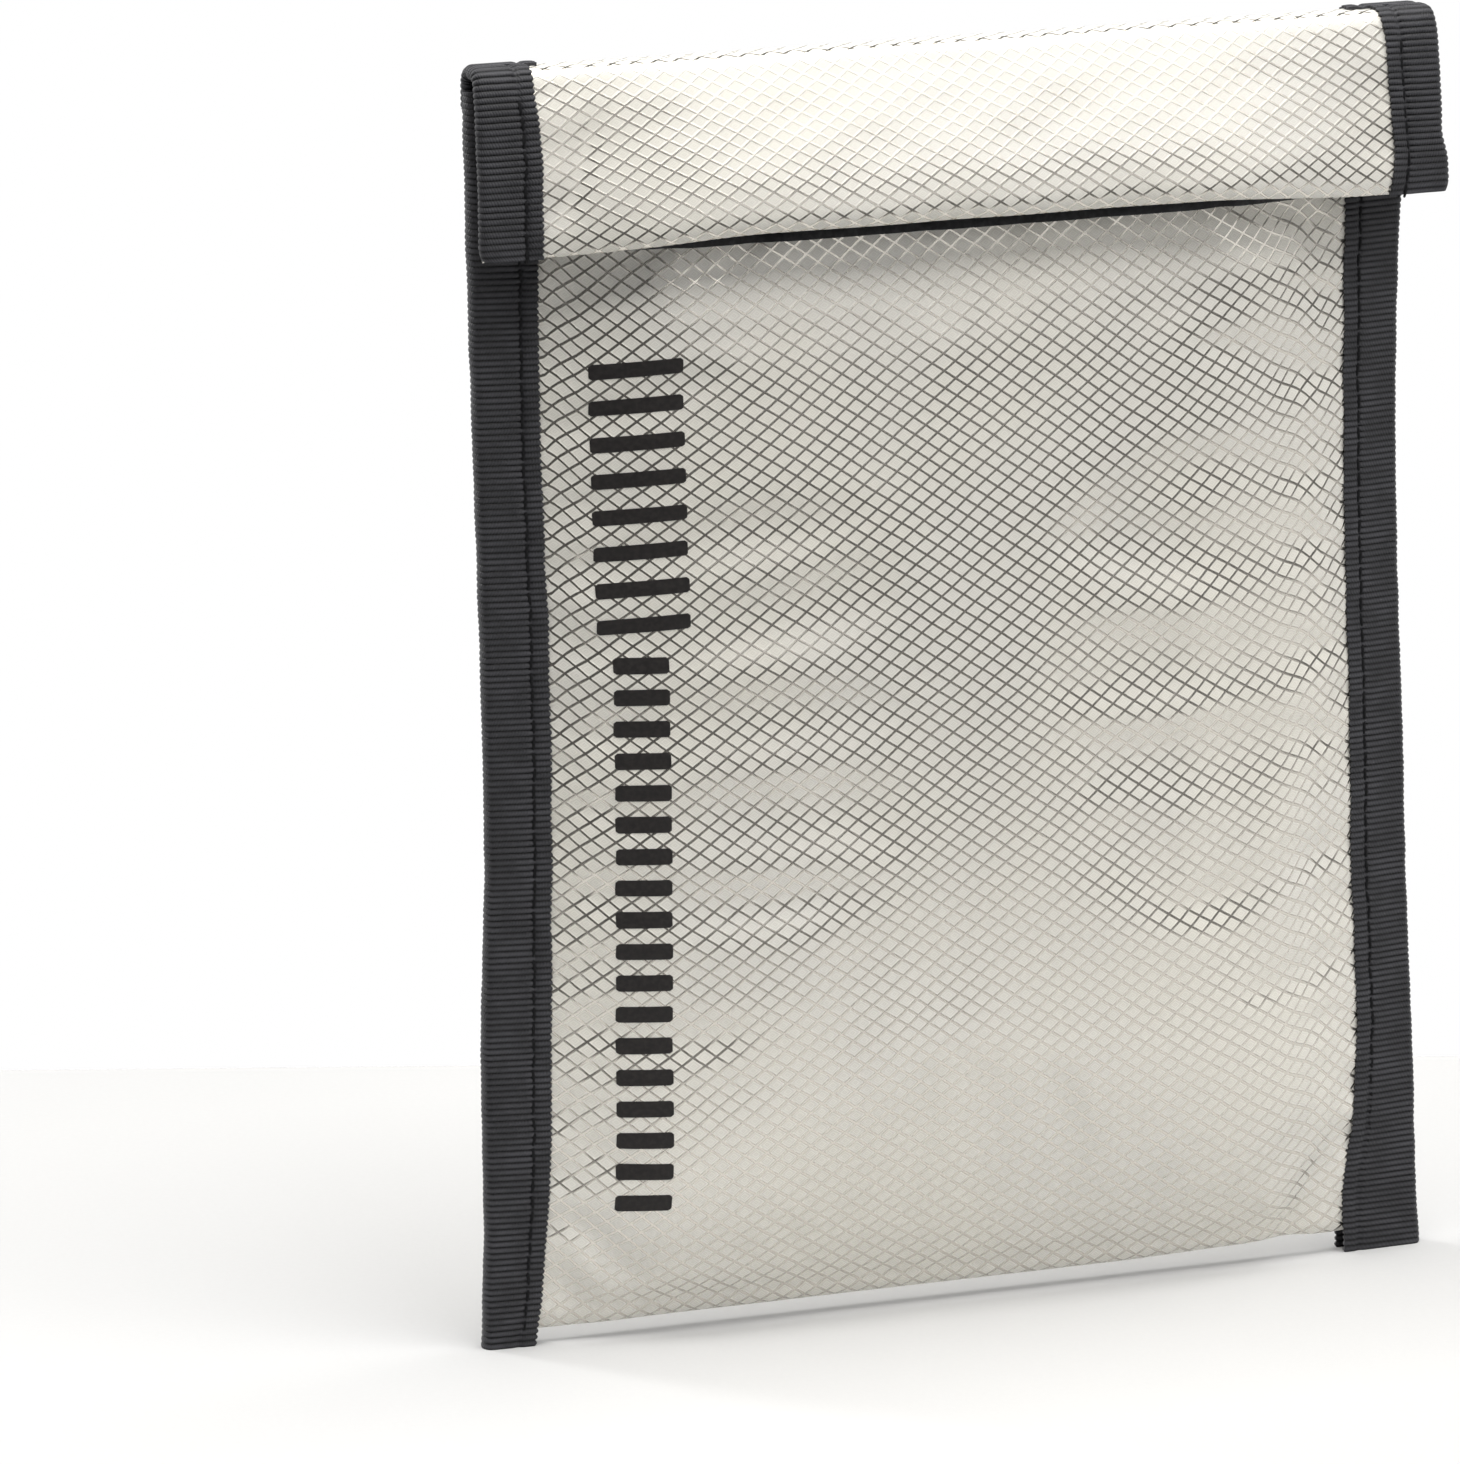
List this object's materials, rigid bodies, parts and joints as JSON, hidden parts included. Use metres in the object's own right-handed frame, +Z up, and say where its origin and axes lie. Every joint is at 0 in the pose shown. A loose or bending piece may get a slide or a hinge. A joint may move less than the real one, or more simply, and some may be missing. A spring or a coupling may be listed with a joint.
{
  "type": "lithium battery safety pouch",
  "caption": "Flat upright fabric pouch for lithium battery packs, with bound sides and a fold-over flap closed by a hook-and-loop strip.",
  "frame": {"origin": "middle of the outline, at the level of the lower ends of the side bindings", "axes": "+X to the viewer's right as the front is seen, +Y from the front to the back, +Z up to the folded top"},
  "size_m": [0.18, 0.0192, 0.23],
  "materials": {
    "outer_cloth": "coated ripstop, satin with a metallic diamond yarn",
    "core": "felted glass fibre",
    "lining": "plain woven silver-grey",
    "binding_tape": "black ribbed grosgrain",
    "thread": "black twisted polyester",
    "loop": "black brushed loop pile",
    "hook": "black hook tape",
    "print": "screen-printed ink"
  },
  "bodies": {
    "pouch": {"outer_cloth": "outer_cloth", "core_layer": "core", "inner_lining": "lining", "left_binding": "binding_tape", "right_binding": "binding_tape", "left_binding_thread": "thread", "right_binding_thread": "thread", "mouth_binding": "binding_tape", "mouth_binding_thread": "thread", "loop_strip": "loop", "loop_strip_thread": "thread", "front_print": "print", "back_crease_cloth": "outer_cloth", "back_crease_tape": "binding_tape"},
    "top_fold": {"top_outer_cloth": "outer_cloth", "top_core_layer": "core", "top_inner_lining": "lining", "top_left_binding": "binding_tape", "top_right_binding": "binding_tape", "front_crease_cloth": "outer_cloth", "front_crease_tape": "binding_tape"},
    "flap": {"flap_outer_cloth": "outer_cloth", "flap_core_layer": "core", "flap_inner_lining": "lining", "flap_left_binding": "binding_tape", "flap_right_binding": "binding_tape", "flap_left_binding_thread": "thread", "flap_right_binding_thread": "thread", "hook_strip": "hook", "hook_strip_thread": "thread"}
  },
  "joints": [
    {"name": "back_crease", "type": "hinge", "parent": "pouch", "child": "top_fold", "pos_m": [0, 0.0081, 0.22824], "axis": [-1, 0, 0], "range_deg": [0, 120], "deforming": ["back_crease_cloth", "back_crease_tape"]},
    {"name": "front_crease", "type": "hinge", "parent": "top_fold", "child": "flap", "pos_m": [0, 0.001, 0.22844], "axis": [-1, 0, 0], "range_deg": [0, 90], "deforming": ["front_crease_cloth", "front_crease_tape"]}
  ]
}
